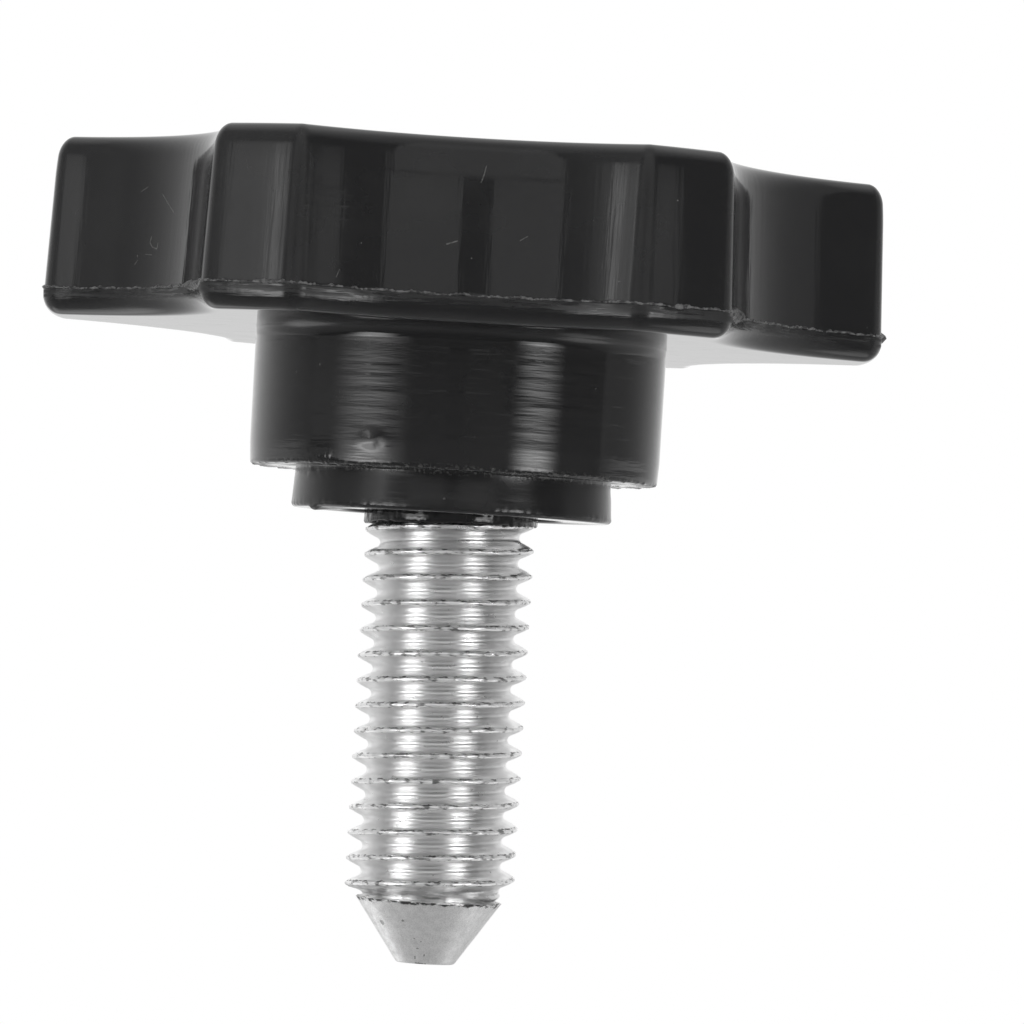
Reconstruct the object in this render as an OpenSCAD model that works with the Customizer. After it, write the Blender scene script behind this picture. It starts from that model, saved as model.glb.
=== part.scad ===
// Star knob with a stud: a six-lobed moulded grip on a stepped hub, and the steel stud that is
// moulded into it. Lengths are in millimetres, and angles are in degrees. The origin is on the
// axis, in the plane of the seating face. +Z points up through the grip, and the stud points down.

/* [Grip] */
// Diameter over the tips of the lobes, at the parting line
grip_d = 58; // [52:0.5:70]
// Diameter of the circle that touches the floors of the scallops
valley_d = 46.6; // [42:0.1:49]
// Number of lobes
lobes = 6; // [5:1:7]
// Width of a lobe across its tip
lobe_w = 8.6; // [7:0.1:11]
// Radius of the upright corners beside each tip
corner_r = 1.8; // [1.2:0.1:2.6]
// Thickness of the grip
grip_h = 12.3; // [9:0.1:18]
// Height of the parting line above the underside
parting_h = 1.8; // [1.6:0.1:4]
// Draft of the sides above the parting line
grip_draft = 2.2; // [0.5:0.1:4]
// Radius of the top edge
top_edge_r = 1.3; // [0.6:0.1:1.6]
// Radius of the bottom edge
bottom_edge_r = 1.5; // [0.6:0.1:1.6]

/* [Hub] */
// Diameter of the hub at its lower end
hub_d = 28.4; // [25:0.1:36]
// Height of the hub, from its step to the grip
hub_h = 9.4; // [6:0.1:20]
// Draft of the hub, which is widest at the grip
hub_draft = 0.3; // [0:0.1:3]
// Diameter of the boss that carries the seating face
boss_d = 22.2; // [18:0.1:24]
// Height of the boss
boss_h = 2.8; // [1.5:0.1:6]
// Radius of the lower edges of the hub and the boss
hub_edge_r = 0.3; // [0.1:0.05:0.6]
// Diameter of the shallow recess round the stud
recess_d = 15.5; // [13:0.1:17]
// Depth of the recess above the seating face
recess_depth = 0.6; // [0.2:0.1:2]

/* [Stud] */
// Outside diameter of the thread
thread_d = 11.8; // [8:0.1:12.5]
// Length of the thread below the seating face
thread_l = 26; // [15:0.5:60]
// Diameter at the root of the thread, where it runs out
root_d = 9.7; // [6:0.1:9.8]
// Length of the run-out between the thread and the point
runout_l = 0.6; // [0.4:0.1:3]
// Diameter of the point where its cone starts
point_d = 10.1; // [8:0.1:11]
// Length of the conical point
point_l = 4.4; // [2:0.1:8]
// Diameter of the flat end of the point
point_end_d = 4; // [1:0.1:6]

/* [Anchor] */
// Width across the flats of the hexagon head that the moulding holds
anchor_af = 18; // [15:0.5:20]
// Thickness of the hexagon head
anchor_h = 7.5; // [4:0.5:9]
// Height of the head's lower face above the seating face
anchor_depth = 4; // [3:0.1:6]
// Diameter of the plain shank between the thread and the head
shank_d = 10.8; // [6:0.1:12]

/* [Hidden] */

$fn = 128;

// Segments in half a scallop, in a corner, in half a tip and in an edge
scallop_steps = 9;
corner_steps = 6;
tip_steps = 2;
edge_steps = 6;
// Smallest corner radius, kept where an edge is rounded further in than the corner
least_corner_r = 0.15;
// Depth to which the hub runs into the grip, and the shank into the head, so that each pair is one piece
merge = 1;
// Extra length of a cutting shape where it leaves the solid
cut_over = 0.1;

hub_z = boss_h;
grip_z = hub_z + hub_h;

// Centre of a tip's corner, with the scallop's middle line along +X
corner_half_angle = asin((lobe_w / 2 - corner_r) / (grip_d / 2 - corner_r));
corner_angle = 180 / lobes - corner_half_angle;
corner_x = (grip_d / 2 - corner_r) * cos(corner_angle);
corner_y = (grip_d / 2 - corner_r) * sin(corner_angle);

// Radius of the scallop that touches both the valley circle and the corners beside it
valley_step = valley_d / 2 - corner_x;
scallop_r = (pow(valley_step, 2) + pow(corner_y, 2) - pow(corner_r, 2)) / (2 * (corner_r - valley_step));
scallop_x = valley_d / 2 + scallop_r;

// Points on an arc from angle a0 to a1, both ends included
function arc(centre, r, a0, a1, steps) =
    [for (i = [0:steps]) let (a = a0 + (a1 - a0) * i / steps) centre + r * [cos(a), sin(a)]];

// Leaves out the first point of a list, where it repeats the end of the list before
function rest_of(points) = [for (i = [1:len(points) - 1]) points[i]];

// Half of one lobe's outline, set in from the parting line, from the scallop's floor to the tip
function half_outline(inset) =
    let (
        tip_r = grip_d / 2 - inset,
        hollow_r = scallop_r + inset,
        edge_r = max(corner_r - inset, least_corner_r),
        reach = tip_r - edge_r,
        turn = acos((pow(scallop_x, 2) + pow(reach, 2) - pow(hollow_r + edge_r, 2)) / (2 * scallop_x * reach)),
        corner = reach * [cos(turn), sin(turn)],
        side = atan2(corner[1], corner[0] - scallop_x)
    )
    concat(
        arc([scallop_x, 0], hollow_r, 180, side, scallop_steps),
        rest_of(arc(corner, edge_r, side - 180, turn, corner_steps)),
        rest_of(arc([0, 0], tip_r, turn, 180 / lobes, tip_steps))
    );

// One scallop with half a lobe on each side, without the last point, which the next one starts with
function sector(inset) =
    let (half = half_outline(inset), n = len(half))
    [for (i = [0:2 * n - 3]) i < n ? [half[n - 1 - i][0], -half[n - 1 - i][1]] : half[i - n + 1]];

// The whole outline, anticlockwise, with the first scallop towards -Y
function star(inset) =
    [for (k = [0:lobes - 1]) let (a = 360 / lobes * k - 90) for (p = sector(inset))
        [p[0] * cos(a) - p[1] * sin(a), p[0] * sin(a) + p[1] * cos(a)]];

// Section of the grip's side, from the underside to the top: [inset, height above the underside]
side_top_z = grip_h - top_edge_r + top_edge_r * sin(grip_draft);
top_centre_inset = (side_top_z - parting_h) * tan(grip_draft) + top_edge_r * cos(grip_draft);
grip_side = concat(
    arc([bottom_edge_r, bottom_edge_r], bottom_edge_r, 270, 180, edge_steps),
    parting_h > bottom_edge_r ? [[0, parting_h]] : [],
    arc([top_centre_inset, grip_h - top_edge_r], top_edge_r, 180 - grip_draft, 90, edge_steps)
);

module grip() {
    rings = [for (s = grip_side) [for (p = star(s[0])) [p[0], p[1], grip_z + s[1]]]];
    n = len(rings[0]);
    m = len(rings);
    // The underside and the top each close to a point on the axis
    low_centre = m * n;
    high_centre = low_centre + 1;
    points = concat([for (ring = rings) for (p = ring) p], [[0, 0, grip_z], [0, 0, grip_z + grip_h]]);
    sides = [for (j = [0:m - 2]) for (i = [0:n - 1])
        let (a = j * n + i, b = j * n + (i + 1) % n)
        for (face = [[a, a + n, b + n], [a, b + n, b]]) face];
    underside = [for (i = [0:n - 1]) [low_centre, i, (i + 1) % n]];
    top = [for (i = [0:n - 1]) [high_centre, (m - 1) * n + (i + 1) % n, (m - 1) * n + i]];
    polyhedron(points = points, faces = concat(underside, top, sides), convexity = 4);
}

// Hub and boss, turned from one profile of [radius, height]
module hub() {
    hub_low_r = hub_d / 2;
    hub_high_r = hub_low_r + hub_h * tan(hub_draft);
    profile = concat(
        [[0, recess_depth], [recess_d / 2, recess_depth], [recess_d / 2, 0]],
        arc([boss_d / 2 - hub_edge_r, hub_edge_r], hub_edge_r, 270, 360, edge_steps),
        [[boss_d / 2, hub_z]],
        arc([hub_low_r - hub_edge_r, hub_z + hub_edge_r], hub_edge_r, 270, 360, edge_steps),
        [[hub_high_r, grip_z], [hub_high_r, grip_z + merge], [0, grip_z + merge]]
    );
    rotate_extrude() polygon(profile);
}

// The hexagon head that the moulding grips
module anchor_head() {
    translate([0, 0, anchor_depth]) cylinder(h = anchor_h, d = anchor_af / cos(30), $fn = 6);
}

// Cavity in the moulding for the shank and the head, open through the floor of the recess
module stud_cavity() {
    translate([0, 0, recess_depth - cut_over])
        cylinder(h = cut_over + anchor_depth - recess_depth + merge, d = shank_d);
    anchor_head();
}

module knob_body() {
    color([0.09, 0.09, 0.095])
    difference() {
        union() {
            grip();
            hub();
        }
        stud_cavity();
    }
}

// Shank, thread, run-out and point, turned from one profile of [radius, height], with the head on top.
// The thread ends on the floor of the recess, and the shank above it is inside the moulding.
module threaded_stud() {
    runout_z = -thread_l;
    point_z = runout_z - runout_l;
    end_z = point_z - point_l;
    profile = [
        [0, anchor_depth + merge],
        [shank_d / 2, anchor_depth + merge],
        [shank_d / 2, recess_depth],
        [thread_d / 2, recess_depth],
        [thread_d / 2, runout_z],
        [root_d / 2, runout_z],
        [root_d / 2, point_z],
        [point_d / 2, point_z],
        [point_end_d / 2, end_z],
        [0, end_z]
    ];
    color([0.74, 0.74, 0.75])
    union() {
        rotate_extrude() polygon(profile);
        anchor_head();
    }
}

knob_body();
threaded_stud();
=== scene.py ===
"""Finish of a star knob with a threaded stud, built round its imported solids. Lengths are in metres."""

import math

import bmesh
import bpy
import numpy as np
from mathutils import Matrix, Quaternion, Vector, noise


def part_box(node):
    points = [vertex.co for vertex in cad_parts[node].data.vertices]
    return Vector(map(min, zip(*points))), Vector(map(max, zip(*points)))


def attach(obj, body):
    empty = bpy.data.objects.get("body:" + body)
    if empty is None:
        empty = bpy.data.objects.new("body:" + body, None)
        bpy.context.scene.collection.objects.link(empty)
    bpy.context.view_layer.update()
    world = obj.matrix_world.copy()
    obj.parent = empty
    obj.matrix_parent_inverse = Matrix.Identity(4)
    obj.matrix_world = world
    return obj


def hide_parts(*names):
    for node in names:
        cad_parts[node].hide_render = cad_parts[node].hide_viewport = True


bl_info = {
    "name": "Star Knob",
    "version": (1, 0, 0),
    "blender": (4, 5, 0),
    "location": "View3D > Sidebar > Star Knob",
    "description": "Builds a moulded star knob, its threaded stud, their finishes and a studio",
    "category": "Add Mesh",
}

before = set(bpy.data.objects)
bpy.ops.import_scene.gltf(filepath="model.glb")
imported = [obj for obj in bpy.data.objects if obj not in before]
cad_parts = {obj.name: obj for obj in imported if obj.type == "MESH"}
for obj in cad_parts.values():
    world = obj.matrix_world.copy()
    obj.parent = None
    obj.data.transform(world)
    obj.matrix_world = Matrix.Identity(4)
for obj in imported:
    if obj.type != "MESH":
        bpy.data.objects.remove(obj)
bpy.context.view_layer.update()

MM = 0.001
UM = 0.000001

KNOB_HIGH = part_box("knob_body")[1]
STUD_LOW, STUD_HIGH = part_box("threaded_stud")


def length(name, description, default):
    """A property that holds a length."""
    return bpy.props.FloatProperty(
        name=name, description=description, default=default, unit="LENGTH", precision=5
    )


def angle(name, description, default):
    """A property that holds an angle, given here in degrees."""
    return bpy.props.FloatProperty(
        name=name, description=description, default=math.radians(default), subtype="ANGLE", unit="ROTATION"
    )


def amount(name, description, default):
    """A property that holds a plain number."""
    return bpy.props.FloatProperty(name=name, description=description, default=default)


def colour(name, description, default):
    """A property that holds a colour."""
    return bpy.props.FloatVectorProperty(
        name=name, description=description, default=default, subtype="COLOR", size=3, min=0, max=1
    )


class GripSizes(bpy.types.PropertyGroup):
    """Sizes of the six-lobed grip."""

    lobes: bpy.props.IntProperty(name="Lobes", description="Number of lobes", default=6)
    radius: length("Radius", "Radius over the tips of the lobes", KNOB_HIGH.x)
    valley_radius: length("Valley radius", "Radius of the circle inside the scallops", 23.3 * MM)
    lobe_width: length("Lobe width", "Width of a lobe across its tip", 8.6 * MM)
    corner_radius: length("Corner radius", "Radius of the upright corners beside each tip", 1.8 * MM)
    height: length("Height", "Thickness of the grip", 12.3 * MM)
    top: length("Top", "Height of the top face", KNOB_HIGH.z)
    parting: length("Parting height", "Height of the parting line above the underside", 1.8 * MM)
    step: length("Parting step", "Outward step of the lower mould half at the parting line", 0.05 * MM)
    draft: angle("Draft", "Draft of the sides above the parting line", 2.2)
    top_edge: length("Top edge", "Width of the rounded top edge", 1.15 * MM)
    top_edge_rise: length("Top edge rise", "Height over which the top edge rounds", 1.55 * MM)
    bow: length("Bow", "Depth by which the sides bow in just below the top edge", 0.036 * MM)
    bow_rise: length("Bow rise", "Height of the bowed part of the sides", 1.3 * MM)
    bottom_edge: length("Bottom edge", "Width of the rounded bottom edge", 1.25 * MM)
    bottom_edge_rise: length("Bottom edge rise", "Height over which the bottom edge rounds", 1.4 * MM)


class HubSizes(bpy.types.PropertyGroup):
    """Sizes of the hub, the boss and the recess round the stud."""

    radius: length("Hub radius", "Radius of the hub at its lower end", 14.2 * MM)
    draft: angle("Hub draft", "Draft of the hub, which is widest at the grip", 0.3)
    boss_radius: length("Boss radius", "Radius of the boss at the seating face", 11.1 * MM)
    boss_flare: length("Boss flare", "How much narrower the boss is where it meets the hub", 0.16 * MM)
    boss_height: length("Boss height", "Height of the boss", 2.8 * MM)
    edge: length("Edge", "Radius of the lower edges", 0.3 * MM)
    relief: length("Relief", "How far the hub draws in over its lowest part", 0.07 * MM)
    relief_height: length("Relief height", "Height of that lowest part", 1.3 * MM)
    recess_radius: length("Recess radius", "Radius of the recess round the stud", 7.75 * MM)
    recess_depth: length("Recess depth", "Depth of the recess", 0.6 * MM)
    collar_radius: length("Collar radius", "Radius of the film of plastic on the thread", 6.0 * MM)
    collar_end: length("Collar end", "Height at which that film ends", -0.62 * MM)
    collar_climb: length("Collar climb", "How far that end climbs over half a turn", 0.30625 * MM)
    cavity_radius: length("Cavity radius", "Radius of the moulding round the shank", 5.4 * MM)
    head_flats: length("Head flats", "Width across the flats of the moulded-in head", 18 * MM)
    head_low: length("Head low", "Height of the head's lower face", 4 * MM)
    head_high: length("Head high", "Height of the head's upper face", STUD_HIGH.z)


class StudSizes(bpy.types.PropertyGroup):
    """Sizes of the threaded stud."""

    pitch: length("Pitch", "Pitch of the thread", 1.75 * MM)
    crest_radius: length("Crest radius", "Radius at the crests", 5.88 * MM)
    root_radius: length("Root radius", "Radius at the roots", 4.8 * MM)
    crest_width: length("Crest width", "Width of the rolled crest", 0.26 * MM)
    root_width: length("Root width", "Width of the rounded root", 0.62 * MM)
    first_crest: length("First crest", "Height of a crest on the -X side", -3.01 * MM)
    thread_end: length("Thread end", "Height at which the thread fades out", -26.0 * MM)
    runout_radius: length("Run-out radius", "Radius of the groove above the point", 4.6 * MM)
    point_radius: length("Point radius", "Radius at the wide end of the point", 5.05 * MM)
    point_top: length("Point top", "Height of the wide end of the point", -26.6 * MM)
    point_end_radius: length("Point end radius", "Radius of the flat end", 2.0 * MM)
    point_end: length("Point end", "Height of the flat end", STUD_LOW.z)
    point_edge: length("Point edge", "Radius round the flat end", 0.3 * MM)


class Finish(bpy.types.PropertyGroup):
    """Colours and gloss."""

    plastic: colour("Plastic", "Colour of the moulding", (0.0130, 0.0130, 0.0134))
    dust: colour("Dust", "Colour of the dust on the moulding", (0.34, 0.34, 0.33))
    plastic_roughness: amount("Plastic roughness", "Roughness of the moulding", 0.045)
    torn: colour("Torn plastic", "Colour of the torn flash", (0.11, 0.11, 0.11))
    steel: colour("Steel", "Colour of the rolled thread", (0.94, 0.94, 0.94))
    steel_dull: colour("Dull steel", "Colour of the duller patches of the thread", (0.86, 0.86, 0.86))
    point: colour("Point", "Colour of the turned point", (0.95, 0.95, 0.95))


class Studio(bpy.types.PropertyGroup):
    """Camera, lamps and floor."""

    distance: length("Camera distance", "Distance of the camera from the axis", 427.8 * MM)
    height: length("Camera height", "Height of the camera", -8.86 * MM)
    bearing: angle("Camera bearing", "Angle of the camera from -Y", -0.416)
    pan: angle("Camera pan", "Turn of the camera to the right of the axis", 0.562)
    tilt: angle("Camera tilt", "Upward tilt of the camera", 1.255)
    roll: angle("Camera roll", "Roll of the camera", 3.35)
    lens: amount("Lens", "Focal length in millimetres", 217.06)
    floor: length("Floor", "Height of the floor", STUD_LOW.z - 120 * MM)
    ambient: amount("Ambient", "Strength of the world on matt surfaces", 0.9)
    room: amount("Room", "Level of the dim room, as gloss shows it", 0.085)
    left_fill: amount("Left fill", "Extra level on the left of the room", 0.27)
    ceiling: amount("Ceiling", "Level of the ceiling in front, as gloss shows it", 0.5)
    ceiling_back: amount("Ceiling behind", "Level of the ceiling behind, as gloss shows it", 1.15)
    backdrop_edge: amount("Backdrop edge", "Bearing of the backdrop's edges in degrees", 88.5)
    backdrop_side: amount("Backdrop side", "Level of the backdrop at its edges", 0.3)
    lamp_distance: length("Lamp distance", "Distance of the soft boxes from the origin", 0.9)


# Mesh building

# Smallest corner radius, kept where an edge is set further in than the corner
LEAST_CORNER = 0.15 * MM
MERGE_DISTANCE = 0.5 * UM


def new_piece(name, points, faces):
    """A smooth mesh object with the given points and faces."""
    mesh = bpy.data.meshes.new(name)
    mesh.from_pydata(points, [], faces)
    mesh.shade_smooth()
    piece = bpy.data.objects.new(name, mesh)
    bpy.context.scene.collection.objects.link(piece)
    return piece


def arc(centre, radius, start, stop, steps):
    """Points on an arc between two angles in degrees, both ends included."""
    turn = np.radians(np.linspace(start, stop, steps + 1))
    return np.column_stack([centre[0] + radius * np.cos(turn), centre[1] + radius * np.sin(turn)])


def lower_edge(radius, height, edge):
    """Section of the rounded lower edge of a wall with a radius, which starts at a height."""
    return arc((radius - edge, height + edge), edge, 270, 360, 6)


def half_lobe(grip, inset, steps):
    """Half of one lobe's outline, set in, from the scallop's floor to the middle of the tip."""
    reach = grip.radius - grip.corner_radius
    lean = math.pi / grip.lobes - math.asin((grip.lobe_width / 2 - grip.corner_radius) / reach)
    corner = np.array([math.cos(lean), math.sin(lean)]) * reach
    step = grip.valley_radius - corner[0]
    hollow = (step**2 + corner[1] ** 2 - grip.corner_radius**2) / (2 * (grip.corner_radius - step))
    centre = np.array([grip.valley_radius + hollow, 0])
    tip = grip.radius - inset
    edge = max(grip.corner_radius - inset, LEAST_CORNER)
    reach = tip - edge
    wide = hollow + inset + edge
    turn = math.acos((centre[0] ** 2 + reach**2 - wide**2) / (2 * centre[0] * reach))
    corner = reach * np.array([math.cos(turn), math.sin(turn)])
    side = math.degrees(math.atan2(corner[1], corner[0] - centre[0]))
    turn = math.degrees(turn)
    scallop = arc(centre, hollow + inset, 180, side, steps[0])
    bend = arc(corner, edge, side - 180, turn, steps[1])
    return np.vstack([scallop, bend[1:], arc((0, 0), tip, turn, 180 / grip.lobes, steps[2])[1:]])


def star_outline(grip, inset, steps):
    """The whole outline, anticlockwise, with the first scallop towards -Y."""
    half = half_lobe(grip, inset, steps)
    sector = np.vstack([half[::-1] * [1, -1], half[1:-1]])
    turns = np.radians(360 / grip.lobes * np.arange(grip.lobes) - 90)
    turned = [np.array([[math.cos(t), math.sin(t)], [-math.sin(t), math.cos(t)]]) for t in turns]
    return np.vstack([sector @ turn for turn in turned])


def wall_normals(ring):
    """Level unit vectors that point out of an upright wall at each point of a ring."""
    ahead = np.roll(ring, -1, 0) - np.roll(ring, 1, 0)
    out = np.column_stack([ahead[:, 1], -ahead[:, 0], np.zeros(len(ring))])
    return out / np.linalg.norm(out, axis=1)[:, None]


def round_ring(turn):
    """A function that gives a level ring of points at the angles of turn, from a radius and a height."""
    unit = np.column_stack([np.cos(turn), np.sin(turn)])

    def ring(radius, height):
        radius = np.broadcast_to(radius, turn.shape)
        return np.column_stack([unit * radius[:, None], np.broadcast_to(height, turn.shape)])

    return ring


def quads(rows, count, closed=True):
    """Quads between rows of count points that follow one another, closed where the rows are rings."""
    a = np.arange(count if closed else count - 1)
    b = (a + 1) % count
    step = np.arange(rows - 1)[:, None] * count
    return np.stack([a + step, b + step, b + step + count, a + step + count], -1).reshape(-1, 4).tolist()


def closed_skin(name, rings, start, stop):
    """A closed mesh object through the rings, which end in a fan at a point on either side."""
    count = len(rings[0])
    points = np.vstack([*rings, start, stop])
    first, last = len(points) - 2, len(points) - 1
    top = (len(rings) - 1) * count
    faces = quads(len(rings), count)
    faces += [[first, (i + 1) % count, i] for i in range(count)]
    faces += [[last, top + i, top + (i + 1) % count] for i in range(count)]
    return new_piece(name, points.tolist(), faces)


def merged_skin(name, rows):
    """A closed mesh object through rows whose first and last points may meet, with doubled points merged."""
    piece = new_piece(name, np.vstack(rows).tolist(), quads(len(rows), len(rows[0]), closed=False))
    work = bmesh.new()
    work.from_mesh(piece.data)
    bmesh.ops.remove_doubles(work, verts=work.verts, dist=MERGE_DISTANCE)
    bmesh.ops.recalc_face_normals(work, faces=work.faces)
    work.to_mesh(piece.data)
    work.free()
    return piece


def ragged(points, size, seed):
    """Smooth noise between about -1 and 1 at each point, with lumps of a size in millimetres."""
    shift = Vector((seed * 17.3, seed * 5.1, seed * 9.7))
    return np.array([noise.noise(Vector(p) / (size * MM) + shift) for p in points])


def roughness(points, *layers):
    """Noise in metres, as layers of a height and a lump size in millimetres and the seed of the noise."""
    return MM * sum(height * ragged(points, size, seed) for height, size, seed in layers)


def degrees_off(turn, bearing):
    """How far angles in radians are from a bearing in degrees, between -180 and 180 degrees."""
    return (np.degrees(turn) - bearing + 180) % 360 - 180


def hill(turn, height, place, radius):
    """A smooth hill of height 1 on a round wall. Its place is one of the small faults listed below."""
    bearing, middle, wide, tall = place
    across = np.radians(degrees_off(turn, bearing)) * radius / (wide * MM)
    return np.exp(-(across**2) - ((height / MM - middle) / tall) ** 2)


# Moulding

OUTLINE_STEPS = (40, 12, 12)
FLASH_STEPS = (170, 34, 24)
EDGE_STEPS = 9

# Small faults: bearing in degrees from +X, height, half width and half height in millimetres
BOSS_BURR = (-150, 0, 0.6, 1)
BOSS_LUMP = (-151, 2.6, 2.3, 0.6)
BOSS_NOTCH = (-2, 2.3, 0.5, 0.28)
BOSS_NICK = (-4, 0.75, 0.5, 0.22)
BLISTER = (-113.5, 4.5, 1.1, 0.6)
BLISTER_PIT = (-111.6, 4.35, 0.35, 0.25)
HUB_DEBRIS = (-130, 3.1, 0.9, 0.4)

# Layers of roughness: height and size of the lumps in millimetres, and the seed of the noise
TORN_END = ((0.11, 0.55, 1), (0.05, 0.16, 2))
FILM_WAVES = (0.05, 0.7, 3)
FILM_LUMPS = (0.03, 0.4, 4)
BOSS_EDGE_LUMPS = (0.03, 0.35, 5)
STRIP_SWELL = (0.045, 0.7, 14)
STRIP_GRIT = (0.03, 0.25, 15)

# Lip and fillet of the film on the thread, and corner and chamfer of the recess
FILM_LIP = 0.08 * MM
RECESS_CORNER = 0.05 * MM
RECESS_CHAMFER = 0.06 * MM

# Heights of the hub's rings above its rounded edge, closer together near its lower end
HUB_HEIGHTS = np.concatenate([np.linspace(0.15, 3.2, 18), np.linspace(3.6, 9.1, 8)]) * MM

# Rings of the strip round the parting line: height from it in millimetres, and share of the mould's step
STRIP_RINGS = ((-0.3, 1), (-0.22, 1), (-0.14, 1), (-0.06, 1), (0, 0), (0.07, 0), (0.16, 0))

# Lumps of the flash: bearing in degrees from +X, half width and reach in millimetres
FLASH_LUMPS = (
    (-137, 1.5, 0.42),
    (-44, 1.2, 0.4),
    (-2.5, 0.28, 0.34),
    (-174, 0.4, 0.12),
    (-117, 0.9, 0.12),
    (-61, 0.5, 0.16),
)

# Section of the flash as shares of its reach and of its thickness, from under it round to its top
FLASH_SECTION = ((-0.5, -1.5), (0.2, -1.15), (0.7, -0.75), (1.0, -0.1), (0.75, 0.5), (0.3, 0.95), (-0.5, 1.5))
FLASH_ROOT = -0.12 * MM


def head_rings(ring, turn, hub):
    """Rings round the moulded-in head and in to the shank, which the moulding and the stud share."""
    side = math.tau / 6
    hexagon = hub.head_flats / 2 / np.cos(turn % side - side / 2)
    rings = [ring(hexagon * share, hub.head_high) for share in (0.5, 1)]
    return [*rings, ring(hexagon, hub.head_low), ring(hub.cavity_radius, hub.head_low)]


def collar_rings(ring, turn, hub):
    """Rings over the film of plastic on the thread, with its torn lower end, and over the recess."""
    level = ring(hub.collar_radius, 0)
    end = hub.collar_end + roughness(level, *TORN_END) + hub.collar_climb * degrees_off(turn, -90) / 180
    film = hub.collar_radius + roughness(level, FILM_WAVES)
    lip = end + FILM_LIP
    rings = [ring(hub.cavity_radius, end + 0.1 * MM), ring(hub.cavity_radius + 0.25 * MM, end)]
    rings += [ring(film - 0.07 * MM, end), ring(film, lip)]
    for share in (0.25, 0.5, 0.75, 1):
        height = lip + (hub.recess_depth - FILM_LIP - lip) * share
        rings.append(ring(film + roughness(ring(hub.collar_radius, height), FILM_LUMPS), height))
    profile = (
        (hub.collar_radius + FILM_LIP, hub.recess_depth),
        (hub.recess_radius - RECESS_CORNER, hub.recess_depth),
        (hub.recess_radius, hub.recess_depth - RECESS_CORNER),
        (hub.recess_radius, RECESS_CHAMFER),
        (hub.recess_radius + RECESS_CHAMFER, 0),
    )
    return rings + [ring(radius, height) for radius, height in profile]


def boss_rings(ring, turn, hub):
    """Rings of the boss, from the seating face up, with a burr, a lump and two notches."""
    burr = 0.26 * MM * hill(turn, 0, BOSS_BURR, hub.boss_radius)

    def wall(radius, height):
        return ring(radius, height - burr * max(0, 1 - height / MM))

    edge = lower_edge(hub.boss_radius, 0, hub.edge)
    rings = [wall(x + roughness(ring(x, z), BOSS_EDGE_LUMPS), z) for x, z in edge]
    for share in np.linspace(0.1, 1, 15):
        z = hub.edge + (hub.boss_height - hub.edge) * share
        radius = hub.boss_radius - hub.boss_flare * share
        level = ring(radius, z)
        grit = np.abs(ragged(level, 0.7, 6)) + 0.3 * np.abs(ragged(level, 0.35, 7))
        lump = 0.07 * hill(turn, z, BOSS_LUMP, radius) * grit
        notch = 0.12 * hill(turn, z, BOSS_NOTCH, radius) + 0.096 * hill(turn, z, BOSS_NICK, radius)
        near_hub = math.exp(-(((z - hub.boss_height) / (0.12 * MM)) ** 2))
        seam = 0.07 * near_hub * np.abs(ragged(level, 0.3, 8))
        rings.append(wall(radius + MM * (lump - notch + seam), z))
    return rings


def hub_rings(ring, turn, hub, low, high_radius):
    """Rings of the hub, up to the grip's underside, with crumbs on its lower edge, debris and a blister."""
    rings = [ring((hub.boss_radius - hub.boss_flare + hub.radius) / 2, hub.boss_height)]
    for x, z in lower_edge(hub.radius, hub.boss_height, hub.edge):
        nibble = 0.15 * MM * np.maximum(0, ragged(ring(x, z), 0.28, 9) - 0.15)
        rings.append(ring(x - hub.relief, z - nibble))
    start = hub.boss_height + hub.edge
    for height in HUB_HEIGHTS:
        share = height / HUB_HEIGHTS[-1]
        z = start + (low - start) * share
        radius = hub.radius + (high_radius - hub.radius) * share
        drawn_in = hub.relief * np.clip(1 - height / hub.relief_height, 0, 1)
        blister = 0.075 * hill(turn, z, BLISTER, radius) - 0.03 * hill(turn, z, BLISTER_PIT, radius)
        grit = 0.2 + np.abs(ragged(ring(radius, z), 0.3, 10))
        debris = 0.2 * hill(turn, z, HUB_DEBRIS, radius) * grit
        rings.append(ring(radius - drawn_in + MM * (blister + debris), z))
    return rings


def strip_rings(grip, outline, split):
    """Rings of the rough strip on the parting line, where the mould's lower half stands out a little."""
    rings = []
    for rise, step in STRIP_RINGS:
        strip = outline(-grip.step * step, split + rise * MM)
        swell = roughness(strip * [1, 1, 2], STRIP_SWELL) + roughness(strip * [1, 1, 1.5], STRIP_GRIT)
        fade = math.exp(-(((rise + 0.1) / 0.16) ** 2))
        rings.append(strip + wall_normals(strip) * (swell * fade)[:, None])
    return rings


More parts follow.
